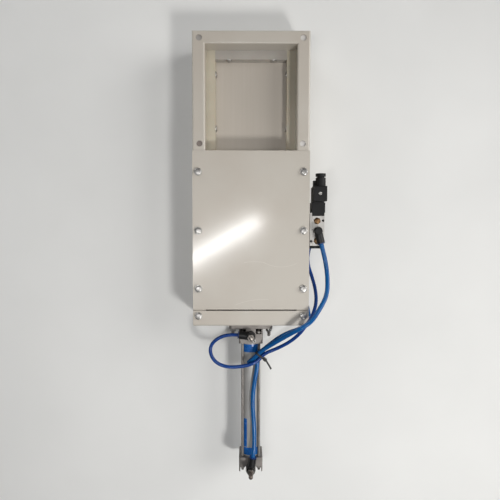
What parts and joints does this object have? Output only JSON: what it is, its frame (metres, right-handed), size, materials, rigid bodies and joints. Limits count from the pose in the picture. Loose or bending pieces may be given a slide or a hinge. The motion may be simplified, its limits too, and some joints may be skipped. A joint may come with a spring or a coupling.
{
  "type": "pneumatic slide gate",
  "caption": "Square duct shut-off slide gate with a box-section flange, grooved guide bars, a sliding blade and an air cylinder switched by a solenoid valve with push-in tubes.",
  "frame": {"origin": "centre of the outlet flange's bolt pattern, on the bottom face that the gate lies on", "axes": "+X towards the solenoid valve, +Y from the cylinder towards the square opening, +Z from the outlet face to the inlet face"},
  "size_m": [0.3039, 0.993, 0.1612],
  "materials": {
    "body_paint": "satin light grey paint",
    "guide_plastic": "machined cream plastic",
    "blade_steel": "dull rolled steel",
    "zinc_steel": "zinc plated",
    "rod_chrome": "hard chrome, ground",
    "cylinder_cast": "blasted aluminium",
    "barrel_aluminium": "anodised aluminium tube",
    "bush_bronze": "sintered bronze",
    "seal_rubber": "black rubber",
    "fitting_plastic": "moulded dark plastic",
    "fitting_metal": "nickel plated brass",
    "collet_plastic": "moulded blue plastic",
    "valve_aluminium": "satin aluminium",
    "black_plastic": "moulded black plastic",
    "override_orange": "moulded plastic",
    "silencer_bronze": "sintered bronze",
    "tube_blue": "blue polyurethane tube",
    "tube_navy": "dark blue polyurethane tube",
    "tie_nylon": "black nylon"
  },
  "bodies": {
    "frame": {"side_channel_left": "body_paint", "side_channel_right": "body_paint", "end_channel": "body_paint", "bottom_plate": "body_paint", "top_cover": "body_paint", "end_plate": "body_paint", "valve_bracket": "body_paint", "guide_bar_left": "guide_plastic", "guide_bar_right": "guide_plastic", "guide_bar_end": "guide_plastic", "seal_bars": "guide_plastic", "weld_nuts": "zinc_steel", "cover_bolts": "zinc_steel", "end_plate_screws": "zinc_steel", "guide_screws": "zinc_steel", "flange_bolts": "zinc_steel", "tie_rods": "zinc_steel", "valve_screws": "zinc_steel", "connector_screw": "zinc_steel", "cylinder_flange": "cylinder_cast", "front_head": "cylinder_cast", "rear_cap": "cylinder_cast", "barrel": "barrel_aluminium", "rod_bush": "bush_bronze", "front_banjo": "fitting_plastic", "rear_banjo": "fitting_plastic", "supply_elbow": "fitting_plastic", "port_elbows": "fitting_plastic", "front_banjo_bolt": "fitting_metal", "rear_banjo_bolt": "fitting_metal", "valve_body": "valve_aluminium", "valve_end_cap": "black_plastic", "pilot_coil": "black_plastic", "connector_housing": "black_plastic", "gland_nut": "black_plastic", "silencers": "silencer_bronze", "supply_tube": "tube_blue", "rear_tube": "tube_blue", "front_tube": "tube_navy", "cable_tie": "tie_nylon"},
    "gate": {"blade": "blade_steel", "blade_bracket": "zinc_steel", "bracket_bolts": "zinc_steel", "rod_clevis": "zinc_steel", "clevis_pin": "zinc_steel", "rod_nut": "zinc_steel", "piston_rod": "rod_chrome", "piston": "cylinder_cast", "piston_seals": "seal_rubber"},
    "spool": {"valve_spool": "valve_aluminium"},
    "override": {"manual_override": "override_orange"},
    "front_needle_screw": {"front_needle": "fitting_metal"},
    "rear_needle_screw": {"rear_needle": "fitting_metal"},
    "front_cushion": {"cushion_screw_front": "zinc_steel"},
    "rear_cushion": {"cushion_screw_rear": "zinc_steel"},
    "front_release": {"front_collet": "collet_plastic"},
    "rear_release": {"rear_collet": "collet_plastic"},
    "supply_release": {"supply_collet": "collet_plastic"},
    "port_a_release": {"port_collet_a": "collet_plastic"},
    "port_b_release": {"port_collet_b": "collet_plastic"}
  },
  "joints": [
    {"name": "gate_slide", "type": "slide", "parent": "frame", "child": "gate", "axis": [0, -1, 0], "range_m": [0, 0.222]},
    {"name": "spool_shift", "type": "slide", "parent": "frame", "child": "spool", "axis": [0, -1, 0], "range_m": [0, 0.003]},
    {"name": "override_push", "type": "slide", "parent": "frame", "child": "override", "axis": [-1, 0, 0], "range_m": [0, 0.0012], "stiffness_N_per_m": 800, "springref_m": -0.001},
    {"name": "front_needle_turn", "type": "hinge", "parent": "frame", "child": "front_needle_screw", "pos_m": [0, -0.5425, 0.118], "axis": [0, 0, 1], "range_deg": [-1080, 1080]},
    {"name": "rear_needle_turn", "type": "hinge", "parent": "frame", "child": "rear_needle_screw", "pos_m": [0, -0.8535, 0.118], "axis": [0, 0, 1], "range_deg": [-1080, 1080]},
    {"name": "front_cushion_turn", "type": "hinge", "parent": "frame", "child": "front_cushion", "pos_m": [0.0078, -0.5565, 0.085], "axis": [0, 0, 1], "range_deg": [-540, 540]},
    {"name": "rear_cushion_turn", "type": "hinge", "parent": "frame", "child": "rear_cushion", "pos_m": [0.0078, -0.8375, 0.085], "axis": [0, 0, 1], "range_deg": [-540, 540]},
    {"name": "front_collet_push", "type": "slide", "parent": "frame", "child": "front_release", "axis": [0.9925, -0.1219, 0], "range_m": [0, 0.0008], "stiffness_N_per_m": 500, "springref_m": -0.001},
    {"name": "rear_collet_push", "type": "slide", "parent": "frame", "child": "rear_release", "axis": [-0.1736, -0.9848, 0], "range_m": [0, 0.0008], "stiffness_N_per_m": 500, "springref_m": -0.001},
    {"name": "supply_collet_push", "type": "slide", "parent": "frame", "child": "supply_release", "axis": [-0.2588, 0.9659, 0], "range_m": [0, 0.0008], "stiffness_N_per_m": 500, "springref_m": -0.001},
    {"name": "port_a_collet_push", "type": "slide", "parent": "frame", "child": "port_a_release", "axis": [0.2672, 0.9636, 0], "range_m": [0, 0.0008], "stiffness_N_per_m": 500, "springref_m": -0.001},
    {"name": "port_b_collet_push", "type": "slide", "parent": "frame", "child": "port_b_release", "axis": [0.342, 0.9397, 0], "range_m": [0, 0.0008], "stiffness_N_per_m": 500, "springref_m": -0.001}
  ]
}
